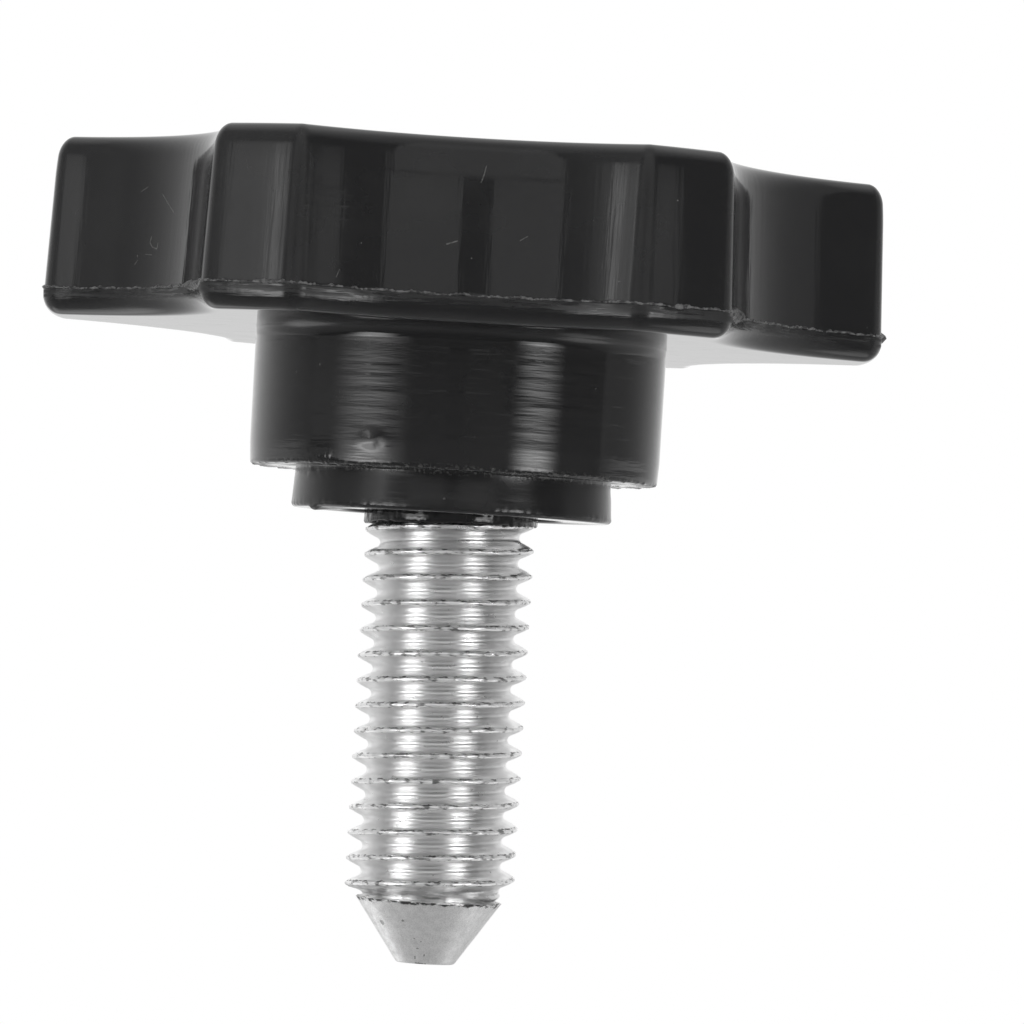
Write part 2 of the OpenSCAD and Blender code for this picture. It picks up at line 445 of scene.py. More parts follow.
def grip_rings(grip, outline, junction):
    """Rings of the grip, from its junction with the hub over the underside and the sides to the top."""
    low = grip.top - grip.height
    split = low + grip.parting
    rim = outline(grip.bottom_edge - grip.step, low)
    rings = [junction + (rim - junction) * share for share in (0, 0.04, 0.25, 0.5, 0.75, 0.95)]
    rounding = arc((1, 1), 1, 270, 180, EDGE_STEPS) * [grip.bottom_edge, grip.bottom_edge_rise]
    rings += [outline(x - grip.step, low + z) for x, z in rounding]
    rings += strip_rings(grip, outline, split)

    # Sides, which bow in a little below the top edge
    lean = math.tan(grip.draft)
    side = grip.height - grip.top_edge_rise - grip.parting
    straight = side - grip.bow_rise
    for share in (0.04, 0.3, 0.6, 0.85, 1):
        rings.append(outline(straight * share * lean, split + straight * share))
    for share in (0.25, 0.5, 0.75, 1):
        rise = straight + grip.bow_rise * share
        rings.append(outline(rise * lean + grip.bow * share**2, split + rise))

    # Top edge and top
    inset = side * lean + grip.bow
    for turn_up in np.radians(np.linspace(8, 90, 2 * EDGE_STEPS)):
        across = grip.top_edge * (1 - math.cos(turn_up))
        upwards = grip.top_edge_rise * math.sin(turn_up)
        across += upwards * lean * math.cos(turn_up)
        rings.append(outline(inset + across, grip.top - grip.top_edge_rise + upwards))
    top = outline(inset + grip.top_edge, grip.top)
    centre = np.array([0, 0, grip.top])
    return rings + [centre + (top - centre) * share for share in (0.95, 0.7, 0.4, 0.1)]


def corner_share(grip):
    """1 at the upright corners of the lobes and 0 elsewhere, at each point of the outline."""
    flat = star_outline(grip, 0, OUTLINE_STEPS)
    ahead = np.roll(flat, -1, 0) - flat
    behind = np.roll(ahead, 1, 0)
    bend = behind[:, 0] * ahead[:, 1] - behind[:, 1] * ahead[:, 0]
    bend /= np.linalg.norm(ahead, axis=1) * np.linalg.norm(behind, axis=1) ** 2
    sharp = np.clip(bend * grip.corner_radius, 0, 1)
    return sum(np.roll(sharp, k) for k in range(-4, 5)) / 9


def build_moulding(grip, hub):
    """The grip, hub and boss as one closed mesh, with an attribute that marks the lobes' corners."""
    parted = star_outline(grip, 0, OUTLINE_STEPS)
    turn = np.arctan2(parted[:, 1], parted[:, 0])
    ring = round_ring(turn)

    def outline(inset, height):
        flat = star_outline(grip, inset, OUTLINE_STEPS)
        return np.column_stack([flat, np.full(len(flat), height)])

    low = grip.top - grip.height
    high_radius = hub.radius + (low - hub.boss_height) * math.tan(hub.draft)
    rings = head_rings(ring, turn, hub) + collar_rings(ring, turn, hub) + boss_rings(ring, turn, hub)
    rings += hub_rings(ring, turn, hub, low, high_radius)
    rings += grip_rings(grip, outline, ring(high_radius + 0.05 * MM, low))
    piece = closed_skin("knob_moulding", rings, (0, 0, hub.head_high), (0, 0, grip.top))

    # The corners are marked on the walls alone, and the two end points aren't marked
    share = corner_share(grip)
    marked = [share * (low + 0.5 * MM < level[:, 2].min() < grip.top - 0.01 * MM) for level in rings]
    corner = piece.data.attributes.new("corner", "FLOAT", "POINT")
    corner.data.foreach_set("value", np.concatenate([*marked, (0, 0)]))
    return piece


def build_flash(grip):
    """The torn line of flash where the two halves of the mould met."""
    flat = star_outline(grip, 0, FLASH_STEPS)
    places = np.column_stack([flat, np.full(len(flat), grip.top - grip.height + grip.parting)])
    out = wall_normals(places)
    coarse, middle, fine = (ragged(places, size, seed) for size, seed in ((1.8, 11), (0.55, 12), (0.2, 13)))
    reach = np.clip(0.085 + 0.05 * coarse + 0.09 * middle + 0.09 * fine, 0.02, 0.3) * MM
    wander = (0.09 * coarse + 0.11 * middle + 0.05 * fine) * MM
    thick = np.clip(0.075 + 0.03 * middle + 0.04 * fine, 0.03, 0.16) * MM
    turn = np.arctan2(flat[:, 1], flat[:, 0])
    distance = np.linalg.norm(flat, axis=1)
    for bearing, wide, far in FLASH_LUMPS:
        off = np.radians(degrees_off(turn, bearing)) * distance / (wide * MM)
        lump = far * np.exp(-(off**2)) * MM
        reach += lump * (0.7 + 0.8 * np.abs(fine) + 0.5 * middle)
        thick += 0.75 * lump * (0.8 + 0.7 * middle)
    rings = []
    for k, (share, rise) in enumerate(FLASH_SECTION):
        far = np.full(len(flat), FLASH_ROOT) if share < 0 else reach * share
        grit = 0.25 * thick * ragged(places + [0, 0, k * 0.4 * MM], 0.18, 16)
        ring = places + out * (far + grit)[:, None]
        ring[:, 2] += wander + thick * rise
        rings.append(ring)

    # The last ring is joined to the first, which closes the section
    faces = np.array(quads(len(rings) + 1, len(flat))) % (len(rings) * len(flat))
    return new_piece("moulding_flash", np.vstack(rings).tolist(), faces.tolist())


# Stud

STUD_COLUMNS = 184

# Rows of the thread over one pitch, as shares of the pitch below a crest
CREST_ROWS = (-0.12, -0.098, -0.08, -0.066, -0.052, -0.038, -0.018, 0.006, 0.03, 0.052, 0.076, 0.1)
FLANK_ROWS = (0.15, 0.21)
ROOT_ROWS = (0.27, 0.32, 0.365, 0.41, 0.455, 0.5, 0.545, 0.59, 0.635, 0.68, 0.73)
THREAD_ROWS = (*CREST_ROWS, *FLANK_ROWS, *ROOT_ROWS, *(1 - share for share in reversed(FLANK_ROWS)))

# Share of the pitch at which the crest is folded over, and how far the thread takes to fade into the run-out
FOLD = -0.08
FADE_LENGTH = 0.45 * MM

# Chips of the point's wide end: height and size in millimetres, and the seed of the noise
POINT_CHIPS = (0.05, 0.4, 23)


def thread_radius(stud, share, places):
    """Radius of the thread at a share of the pitch below a crest, with the crest's torn lips and its fold."""
    off = np.abs(share) * stud.pitch
    crest = stud.crest_width / 2
    root = stud.pitch / 2 - stud.root_width / 2
    flank = np.clip((off - crest) / (root - crest), 0, 1)
    sag = np.clip((off - root) / (stud.root_width / 2), 0, 1)
    depth = stud.crest_radius - stud.root_radius
    hollow = 0.14 * depth
    radius = stud.crest_radius - flank * (depth - hollow) - hollow * (1 - (1 - sag) ** 2)
    lip = np.clip(1.6 - off / (1.3 * crest), 0, 1)
    coarse, fine = ragged(places, 0.9, 21), ragged(places * [1, 1, 3], 0.3, 22)
    fold = np.exp(-(((share - FOLD) / 0.016) ** 2)) * np.clip(0.6 + 1.2 * coarse, 0, 1)
    rounded = 0.06 * (off / crest) ** 2 * lip
    torn = lip * (0.03 * coarse + 0.05 * fine - 0.02) - fold * 0.14 - rounded
    return radius + MM * torn


def thread_rings(ring, turn, stud, top, bottom):
    """Rings of the thread, which follow its helix and are cut off level at both ends."""
    rise = stud.first_crest + stud.pitch * ((np.degrees(turn) - 180) / 360)
    first = int((stud.first_crest - top) / stud.pitch) - 2
    last = int((stud.first_crest - bottom) / stud.pitch) + 2
    rings = []
    for share in (k + row for k in range(first, last + 1) for row in THREAD_ROWS):
        height = np.clip(rise - stud.pitch * share, bottom, top)
        phase = (rise - height) / stud.pitch
        phase = phase - np.round(phase)
        radius = thread_radius(stud, phase, ring(stud.crest_radius, height))
        fade = np.clip((height - stud.thread_end) / FADE_LENGTH + 1, 0, 1)
        rings.append(ring(stud.runout_radius + (radius - stud.runout_radius) * fade**1.5, height))
    return rings


def point_rings(ring, stud, groove):
    """Rings of the ledge above the point, of the cone and of its flat end."""
    chip = roughness(ring(stud.point_radius, 0), POINT_CHIPS)
    rings = [ring(stud.runout_radius, groove - 0.02 * MM)]
    rings += [ring(stud.point_radius - 0.1 * MM, stud.point_top + 0.05 * MM + chip)]
    rings += [ring(stud.point_radius, stud.point_top - 0.02 * MM + chip / 2)]
    narrowing = stud.point_radius - stud.point_end_radius
    point_length = stud.point_top - stud.point_end
    for share in np.linspace(0.04, 0.92, 12):
        rings.append(ring(stud.point_radius - narrowing * share, stud.point_top - point_length * share))
    slope = math.atan2(narrowing, point_length)
    edge = stud.point_edge
    back = edge * math.tan((math.pi / 2 - slope) / 2)
    rounding = arc((stud.point_end_radius - back, stud.point_end + edge), edge, -math.degrees(slope), -90, 6)
    rings += [ring(x, z) for x, z in rounding]
    return [*rings, ring(0.4 * stud.point_end_radius, stud.point_end), ring(0, stud.point_end)]


def build_stud(stud, hub):
    """The moulded-in head and shank, the rolled thread and the turned point as one closed mesh."""
    turn = np.radians(np.linspace(0, 360, STUD_COLUMNS + 1))
    ring = round_ring(turn)
    groove = stud.point_top + 0.1 * MM
    rings = [ring(0, hub.head_high), *head_rings(ring, turn, hub), ring(hub.cavity_radius, hub.recess_depth)]
    rings += thread_rings(ring, turn, stud, hub.recess_depth, groove)
    return merged_skin("threaded_stud_steel", rings + point_rings(ring, stud, groove))


# Shading

ORIGIN = (0, 0, 0)


def arithmetic(operation, swapped=False):
    """A method of Field that adds a Math node, with its operands swapped where a number comes first."""

    def method(self, other):
        operands = (other, self) if swapped else (self, other)
        return maths(self.tree, operation, *operands)

    return method


class Field:
    """A node's output: a value that changes over a surface, and takes plain arithmetic."""

    def __init__(self, socket):
        self.socket = socket
        self.tree = socket.id_data

    __add__ = arithmetic("ADD")
    __sub__ = arithmetic("SUBTRACT")
    __rsub__ = arithmetic("SUBTRACT", swapped=True)
    __mul__ = arithmetic("MULTIPLY")
    __truediv__ = arithmetic("DIVIDE")
    __rtruediv__ = arithmetic("DIVIDE", swapped=True)

    def __abs__(self):
        return maths(self.tree, "ABSOLUTE", self)

    def maths(self, operation, *others, clamp=False):
        """The result of a Math node with this field first."""
        return maths(self.tree, operation, self, *others, clamp=clamp)

    def vector_maths(self, operation, other, output="Vector"):
        """The result of a Vector Math node with this field first and a vector, or a scale, second."""
        node = put(self.tree, "ShaderNodeVectorMath", operation=operation, Vector=self)
        join(other, node.inputs["Scale" if operation == "SCALE" else 1])
        return Field(node.outputs[output])

    def span(self, low, high, out_low=0.0, out_high=1.0, smooth=True):
        """The field mapped from one range to another."""
        node = put(self.tree, "ShaderNodeMapRange", interpolation_type="SMOOTHSTEP" if smooth else "LINEAR")
        settle(node, Value=self, From_Min=low, From_Max=high, To_Min=out_low, To_Max=out_high)
        return Field(node.outputs["Result"])

    def band(self, rise_from, rise_to, fall_from, fall_to):
        """A soft band: a mask that rises from 0 to 1 over one range and falls again over another."""
        return self.span(rise_from, rise_to) * self.span(fall_from, fall_to, 1.0, 0.0)

    def parts(self):
        """The three parts of a vector field."""
        return [Field(socket) for socket in put(self.tree, "ShaderNodeSeparateXYZ", Vector=self).outputs]


def join(value, socket):
    """Feeds an input socket from a field, or sets it to a number, a vector or a colour of three numbers."""
    if isinstance(value, Field):
        socket.id_data.links.new(value.socket, socket)
    else:
        socket.default_value = (*value, 1) if socket.type == "RGBA" else value


def settle(node, **settings):
    """Gives a node values or fields for its named sockets, or else for properties of its own."""
    for key, value in settings.items():
        socket = node.inputs.get(key.replace("_", " "))
        if socket is None:
            setattr(node, key, value)
        else:
            join(value, socket)
    return node


def put(tree, kind, **settings):
    """Adds a node with its settings."""
    return settle(tree.nodes.new(kind), **settings)


def field(tree, kind, output, **settings):
    """Adds a node and gives one of its outputs as a field."""
    return Field(put(tree, kind, **settings).outputs[output])


def maths(tree, operation, *operands, clamp=False):
    """Adds a Math node, whose operands are numbers or fields."""
    node = put(tree, "ShaderNodeMath", operation=operation, use_clamp=clamp)
    for value, socket in zip(operands, node.inputs):
        join(value, socket)
    return Field(node.outputs[0])


def blend(share, a, b, kind="RGBA"):
    """Mixes two colours, or two numbers where kind is FLOAT, by a share."""
    node = put(share.tree, "ShaderNodeMix", data_type=kind, Factor=share)
    first, output = (6, 2) if kind == "RGBA" else (2, 0)
    join(a, node.inputs[first])
    join(b, node.inputs[first + 1])
    return Field(node.outputs[output])


def bump(relief):
    """The normal that a relief gives. The relief is in micrometres."""
    return field(relief.tree, "ShaderNodeBump", "Normal", Strength=1.0, Distance=UM, Height=relief)


def grey(level):
    """A colour with no hue."""
    return level, level, level


def new_group(name, result, **inputs):
    """Starts a shader node group, and gives the socket for its result and a field for each input."""
    group = bpy.data.node_groups.new(name, "ShaderNodeTree")
    for label, value in inputs.items():
        kind = "NodeSocketVector" if isinstance(value, tuple) else "NodeSocketFloat"
        group.interface.new_socket(name=label, in_out="INPUT", socket_type=kind).default_value = value
    group.interface.new_socket(name=result, in_out="OUTPUT", socket_type="NodeSocketFloat")
    source = group.nodes.new("NodeGroupInput")
    end = group.nodes.new("NodeGroupOutput")
    return end.inputs[result], *(Field(source.outputs[label]) for label in inputs)


def grain_group():
    """Soft unevenness, stretched as asked. Size is the size of its lumps."""
    result, place, stretch, size, detail = new_group(
        "Surface Grain", "Height", Vector=ORIGIN, Stretch=(1, 1, 1), Size=MM, Detail=2.0
    )
    scaled = place.vector_maths("DIVIDE", stretch).vector_maths("SCALE", 1.0 / size)
    lumps = put(place.tree, "ShaderNodeTexNoise", Vector=scaled, Scale=1.0, Roughness=0.5, Detail=detail)
    join(Field(lumps.outputs["Fac"]), result)
    return place.tree


def speck_group():
    """Small separate specks: Spacing is about their distance, Size their radius, Share how many there are."""
    result, place, spacing, size, share = new_group(
        "Specks", "Mask", Vector=ORIGIN, Spacing=MM, Size=0.1, Share=0.3
    )
    scaled = place.vector_maths("SCALE", 1.0 / spacing)
    warp = field(place.tree, "ShaderNodeTexNoise", "Fac", Vector=scaled, Scale=2.3, Detail=1.0)
    cells = put(place.tree, "ShaderNodeTexVoronoi", Vector=scaled, Scale=1.0)
    pick = put(place.tree, "ShaderNodeSeparateColor", Color=Field(cells.outputs["Color"]))
    chosen = Field(pick.outputs[0]).maths("LESS_THAN", share)
    reach = size * (Field(pick.outputs[1]) + 0.35) * (warp * 2.0)
    inside = (reach - Field(cells.outputs["Distance"])).maths("DIVIDE", size * 0.4, clamp=True)
    join(inside * chosen, result)
    return place.tree


def mark_group():
    """A short straight mark from Start to End, as a mask."""
    result, place, start, end, width = new_group(
        "Mark", "Mask", Vector=ORIGIN, Start=ORIGIN, End=ORIGIN, Width=0.05 * MM
    )
    along = end.vector_maths("SUBTRACT", start)
    reach = place.vector_maths("SUBTRACT", start)
    # The small number keeps a mark of no length, which is a round grain, from a division by zero
    length_squared = along.vector_maths("DOT_PRODUCT", along, "Value") + 1e-12
    share = reach.vector_maths("DOT_PRODUCT", along, "Value").maths("DIVIDE", length_squared, clamp=True)
    away = reach.vector_maths("DISTANCE", along.vector_maths("SCALE", share), "Value")
    join((width - away).maths("DIVIDE", width * 0.6, clamp=True), result)
    return place.tree


GROUPS = {"Surface Grain": grain_group, "Specks": speck_group, "Mark": mark_group}


def effect(name, place, **settings):
    """Places a shared node group, built the first time it is asked for, with its own values."""
    group = bpy.data.node_groups.get(name) or GROUPS[name]()
    return field(place.tree, "ShaderNodeGroup", 0, node_tree=group, Vector=place, **settings)


def grain(place, size, detail, stretch=(1, 1, 1)):
    """Surface Grain with lumps of a size in millimetres."""
    return effect("Surface Grain", place, Stretch=stretch, Size=size * MM, Detail=detail)


def around(radius, bearing, height):
    """The point at a radius, a bearing from +X in degrees and a height."""
    return radius * math.cos(math.radians(bearing)), radius * math.sin(math.radians(bearing)), height


def near_mask(place, centre, reach):
    """A soft mask that is 1 at a point and 0 beyond a distance from it."""
    return place.vector_maths("DISTANCE", centre, "Value").span(0.3 * reach, reach, 1.0, 0.0)


def marks_mask(place, marks, point_at):
    """All the marks of a list as one mask, with point_at giving the point at a bearing and a height."""
    total = 0.0
    for width, *points in marks:
        ends = [point_at(bearing, height * MM) for bearing, height in points]
        # A mark with one point is a round grain
        for start, end in zip(ends, ends[1:] or ends):
            total = effect("Mark", place, Start=start, End=end, Width=width * MM).maths("MAXIMUM", total)
    return total


def new_material(name, **settings):
    """A material with its Principled BSDF, and the object's own coordinates as a field."""
    material = bpy.data.materials.new(name)
    material.use_nodes = True
    tree = material.node_tree
    shader = next(node for node in tree.nodes if node.type == "BSDF_PRINCIPLED")
    return material, settle(shader, **settings), field(tree, "ShaderNodeTexCoord", "Object")


# Marks on the moulding: half width in millimetres, then points as a bearing from +X in degrees and a height
FIBRE = (
    (0.045, (-156.1, 17.5), (-156.4, 17.1), (-155.7, 16.8), (-154.2, 16.65)),
    (0.04, (-154.2, 16.65), (-154.0, 17.05)),
    (0.035, (-157.3, 16.3), (-155.6, 16.25)),
)
SCRATCHES = (
    (0.035, (-154.1, 20.4), (-152.1, 19.75), (-149.8, 19.1)),
    (0.03, (-160.0, 20.6), (-158.4, 20.9)),
    (0.035, (-159.8, 15.6), (-159.2, 15.9)),
    (0.06, (-88.7, 21.5), (-88.3, 22.0)),
    (0.04, (-88.3, 22.0), (-88.0, 22.6)),
    (0.055, (-93.7, 17.3), (-92.0, 17.55)),
    (0.035, (-82.0, 17.8), (-80.9, 18.1)),
    (0.035, (-108.8, 14.6), (-108.5, 15.1)),
)
DUST_GRAINS = (
    (0.08, (-159.3, 16.2)),
    (0.08, (-132.1, 9.5)),
    (0.07, (-141.4, 8.95)),
    (0.09, (-93.3, 0.9), (-93.0, 0.9)),
    (0.07, (-49.9, 8.9)),
    (0.07, (-46.7, 3.4)),
)

# Dark specks on the stud's point, in the same form
POINT_SPECKS = (
    (0.13, (-114.6, -28.0)),
    (0.06, (-105.4, -29.2), (-105.0, -29.2)),
    (0.06, (-96.9, -29.4)),
    (0.08, (-102.8, -29.9), (-101.5, -29.9)),
    (0.06, (-92.5, -30.3), (-92.5, -30.4)),
    (0.07, (-108.2, -30.6), (-108.0, -30.5)),
    (0.13, (-108.0, -30.95), (-90.0, -31.0)),
)

# Middle and reach of the ripples on the scallop that faces the front left
RIPPLES = (-9.8 * MM, -24.2 * MM, 19.8 * MM)
RIPPLES_REACH = 3.2 * MM


def wall_point(grip, hub, bearing, height):
    """The point of the moulding's walls at a bearing from +X in degrees and a height."""
    low = grip.top - grip.height
    if height > low:
        flat = star_outline(grip, max(height - low - grip.parting, 0) * math.tan(grip.draft), OUTLINE_STEPS)
        turn = np.degrees(np.arctan2(flat[:, 1], flat[:, 0]))
        order = np.argsort(turn)
        radius = float(np.interp(bearing, turn[order], np.linalg.norm(flat, axis=1)[order]))
    elif height > hub.boss_height:
        radius = hub.radius + (height - hub.boss_height) * math.tan(hub.draft)
    else:
        radius = hub.boss_radius - hub.boss_flare * height / hub.boss_height
    return around(radius, bearing, height)


def plastic_relief(place, z, on_grip, strip_marks, fine, grip, hub):
    """Relief of the moulding in micrometres: rings on the hub, drag marks on the grip and a soft waviness."""
    parting = grip.top - grip.height + grip.parting
    on_hub = 1.0 - on_grip
    bearing, height, *_ = BLISTER
    blister = near_mask(place, around(hub.radius, bearing, height * MM), 1.5 * MM)
    relief = grain(place, 1.0, 4, (6, 6, 0.5)) * (on_hub.span(0.0, 1.0, 2.2, 24.0) * (1.0 - blister))
    relief += grain(place, 1.9, 1, (5, 5, 0.7)) * (on_hub * 26.0)
    relief += grain(place, 0.75, 3, (0.55, 0.55, 14)) * (on_grip * 10.0)
    relief += grain(place, 0.5, 1, (4, 4, 0.7)) * (near_mask(place, RIPPLES, RIPPLES_REACH) * 34.0)
    under = z.span(parting - 0.1 * MM, parting + 0.2 * MM, 1.0, 0.0) * on_grip
    relief += strip_marks * (under * 34.0)
    relief += grain(place, 4.2, 1, (1, 1, 1.6)) * 14.0
    relief += fine * 0.5
    *_, normal_z = field(place.tree, "ShaderNodeNewGeometry", "Normal").parts()
    return relief * abs(normal_z).span(0.3, 0.9, 1.0, 0.06)


def plastic_colour(place, z, dust, fine, finish, grip, hub):
    """Colour of the moulding: dust, a thin film of it, scratches, and crumbs on the hub's lower edge."""
    edge = hub.boss_height
    film = grain(place, 5.5, 4).span(0.45, 0.75, 0.0, 0.008)
    base = blend((dust * 0.3).maths("ADD", film, clamp=True), finish.plastic, finish.dust)

    def point_at(bearing, height):
        return wall_point(grip, hub, bearing, height)

    marks = marks_mask(place, (*FIBRE, *SCRATCHES, *DUST_GRAINS), point_at)
    base = blend(marks * fine.span(0.35, 0.6, 0.3, 1.0) * 0.26, base, finish.dust)
    hub_edge = z.band(edge - 0.35 * MM, edge - 0.1 * MM, edge + 0.05 * MM, edge + 0.45 * MM)
    return blend(hub_edge * grain(place, 0.26, 3).span(0.53, 0.6) * 0.12, base, finish.dust)


def plastic_material(finish, grip, hub):
    """Black gloss moulding with ripples on the hub, drag marks on the grip and dust."""
    material, shader, place = new_material("moulded_plastic", IOR=1.5)
    *_, z = place.parts()
    low, edge = grip.top - grip.height, hub.boss_height
    parting = low + grip.parting
    on_grip = z.span(low - 0.1 * MM, low + 0.1 * MM)
    strip_marks = grain(place, 0.42, 4, (7, 7, 0.55))
    fine = grain(place, 0.16, 2)
    dust = effect("Specks", place, Spacing=1.2 * MM, Size=0.04, Share=0.25)
    gloss = finish.plastic_roughness
    rough = grain(place, 2.6, 4).span(0.3, 0.75, gloss - 0.01, gloss + 0.05)
    rough += field(place.tree, "ShaderNodeAttribute", "Fac", attribute_name="corner") * 0.2
    rough += z.band(0.04 * MM, 0.2 * MM, edge - 0.15 * MM, edge - 0.03 * MM) * 0.14
    strip = z.band(parting - 0.95 * MM, parting - 0.55 * MM, parting - 0.05 * MM, parting + 0.1 * MM)
    rough += strip * strip_marks.span(0.43, 0.55, 0.02, 0.34)
    settle(
        shader,
        Base_Color=plastic_colour(place, z, dust, fine, finish, grip, hub),
        Roughness=rough + dust * 0.4,
        Normal=bump(plastic_relief(place, z, on_grip, strip_marks, fine, grip, hub)),
    )
    return material


def flash_material(finish):
    """Torn, whitened plastic of the flash, with glossy spots; its lighter patches also stand in as a painted
    highlight along the line.
    """
    material, shader, place = new_material("torn_flash", IOR=1.5)
    patch = grain(place, 0.5, 4)
    settle(
        shader,
        # Lighter patches: whitened torn plastic, and also a painted highlight along the flash line
        Base_Color=blend(patch.span(0.36, 0.64, 0.1, 1.0), finish.plastic, finish.torn),
        Roughness=patch.span(0.35, 0.65, 0.1, 0.4),
        Normal=bump(grain(place, 0.09, 3) * 30.0),
    )
    return material


def crest_masks(place, stud):
    """The thread's crest and the fold above it, where shade is painted, as masks from 0 to 1 with ragged
    edges.
    """
    x, y, z = place.parts()
    turn = y.maths("ARCTAN2", x) / math.tau
    # The share of the pitch below a crest. The whole turns added keep the Fraction above zero.
    phase = (stud.first_crest - z) / stud.pitch + turn + 10.0
    wander = grain(place, 0.3, 2).span(0.25, 0.75, -0.03, 0.03, smooth=False)
    share = phase.maths("FRACT") - 0.5 + wander
    crest = abs(share - 0.02).span(0.07, 0.095, 1.0, 0.0)
    fold = abs(share + 0.085).span(0.012, 0.03, 1.0, 0.0)
    return crest, fold, z


def thread_material(finish, stud):
    """Bright rolled thread with torn crests, a painted highlight and darker painted dashes on the crests,
    painted shade in the fold above them, duller patches, drag marks along the helix and pits.
    """
    material, shader, place = new_material("rolled_thread")
    crest, fold, z = crest_masks(place, stud)
    torn = grain(place, 0.62, 4, (1, 1, 0.35))
    fine = grain(place, 0.12, 2)
    patch = grain(place, 0.8, 4, (1.6, 1.6, 0.8))
    pits = effect("Specks", place, Spacing=0.8 * MM, Size=0.11, Share=0.25)
    painted_crest_highlight = crest * torn.span(0.5, 0.56, 1.0, 0.0)
    runout = z.span(stud.thread_end - 0.25 * MM, stud.thread_end + 0.9 * MM, 1.0, 0.0)
    # Darker patches over the run-out
    runout_dark_patches = grain(place, 0.5, 4, (3, 3, 0.5)).span(0.47, 0.6, 0.0, 0.5)
    base = blend(patch.span(0.35, 0.7), finish.steel, finish.steel_dull)
    base = blend(pits * 0.5, base, grey(0.12))
    # Darker dashes painted on the crest beside its painted highlight
    base = blend(crest * torn.span(0.55, 0.65) * 0.7, base, grey(0.2))
    # Painted highlight: the crest is painted white where the torn noise is high
    base = blend(painted_crest_highlight, base, grey(1))
    # Painted shade: the fold above the crest is painted near black
    base = blend(fold * torn.span(0.46, 0.6, 0.0, 0.9), base, grey(0.05))

    # Relief in micrometres
    relief = grain(place, 0.3, 3, (5, 5, 0.5)) * 2.0 + fine * 5.0 - pits * 6.0 + torn * crest * 60.0
    settle(
        shader,
        Base_Color=blend(runout * runout_dark_patches, base, grey(0.1)),
        # Less metallic on the painted highlight, so that it shows white
        Metallic=1.0 - painted_crest_highlight * 0.25,
        Roughness=patch.span(0.3, 0.75, 0.25, 0.37) + fine * 0.05,
        Normal=bump(relief),
    )
    return material


def point_material(finish, stud):
    """Matt turned point with a fine grain, a few pits and painted shade in a ragged band just below its upper
    edge.
    """
    material, shader, place = new_material("turned_point", Metallic=0.8)
    *_, z = place.parts()
    fine = grain(place, 0.09, 3)
    mottle = grain(place, 0.5, 5)
    pits = effect("Specks", place, Spacing=1.1 * MM, Size=0.14, Share=0.2)
    lean = (stud.point_radius - stud.point_end_radius) / (stud.point_top - stud.point_end)

    def cone_point(bearing, height):
        return around(stud.point_end_radius + (height - stud.point_end) * lean, bearing, height)

    shade = (mottle * 0.4 + fine * 0.6).span(0.3, 0.7)
    base = blend(shade, finish.point, [level * 0.7 for level in finish.point])
    marks = marks_mask(place, POINT_SPECKS, cone_point) * fine.span(0.35, 0.55, 0.3, 0.95)
    base = blend(marks.maths("MAXIMUM", pits * 0.5), base, grey(0.08))
    # Painted shade: a ragged dark band just below the ledge at the point's upper edge
    edge = z + (mottle - 0.5) * (0.6 * MM)
    edge = edge.span(stud.point_top - 0.26 * MM, stud.point_top - 0.14 * MM)

    # Relief in micrometres
    relief = fine * 6.0 + grain(place, 0.2, 2, (6, 6, 0.5)) * 4.0 - pits * 9.0
    settle(
        shader,
        # The painted shade under the ledge
        Base_Color=blend(edge * grain(place, 0.5, 3, (1, 1, 0.4)).span(0.4, 0.55), base, grey(0.06)),
        Roughness=mottle.span(0.3, 0.7, 0.36, 0.5),
        Normal=bump(relief),
    )
    return material


# Studio

# Bearings from -Y in degrees, where the backdrop and the fill on the left start and change
BACKDROP_SOFTNESS = 2.0
BACKDROP_MIDDLE = 8.0
BACKDROP_WRAP = (95.0, 170.0)
LEFT_FILL = (-62.0, -22.0)

# Parts of a ray's direction over which the ceiling starts, and brightens towards the back
CEILING_RISE = (0.55, 0.92)
CEILING_DEPTH = (-0.35, 0.45)

# The floor's radius and corners, and the distances from the axis between which it turns white
FLOOR_REACH = 6.0
FLOOR_STEPS = 96
FLOOR_WHITENS = (0.2, 0.6)

# Each soft box: name, bearings, elevations, soft edges at the sides, below and above, and radiance
LAMPS = (
    ("left_lamp", (-77, -24), (-30, 7.5), (26, 7, 11), 2.7),
    ("left_shoulder", (-71, -49), (4.5, 25), (3.5, 3, 17), 0.6),
    ("left_tube", (-55, -49.6), (4.5, 25), (2.4, 3, 17), 1.0),
    ("left_fade", (-62, -39.5), (4.5, 25), (11, 3, 17), 0.4),
    ("right_lamp", (28, 61), (-30, 7.5), (15, 6, 11), 3.9),
    ("right_shoulder", (46, 60), (4.5, 24), (4, 3, 17), 0.4),
    ("front_left_panel", (-33, -6.5), (5, 10.8), (0.7, 0.6, 0.6), 0.43),
    ("front_right_panel", (3.4, 31.5), (5, 10.8), (0.7, 0.6, 0.6), 0.43),
    ("front_upper_panel", (-33, 31.5), (10.2, 70), (0.7, 0.6, 30), 0.43),
    ("front_low_glow", (-40, 95), (-30, 5), (10, 2, 2), 0.1),
)

# Soft boxes near the stud, which only gloss shows, with their distance at the end
LOW_LAMPS = (
    ("left_low_lamp", (-68, -33), (-27, -2.5), (15, 5, 5), 4.4, 0.3),
    ("right_low_lamp", (28, 60), (-27, -2.5), (14, 5, 5), 3.6, 0.3),
    ("left_back_glow", (-165, -105), (-54, -24), (20, 10, 10), 0.75, 0.17),
    ("right_side_glow", (68, 125), (-60, -32), (18, 10, 10), 0.8, 0.16),
)
LAMP_STEPS = 40


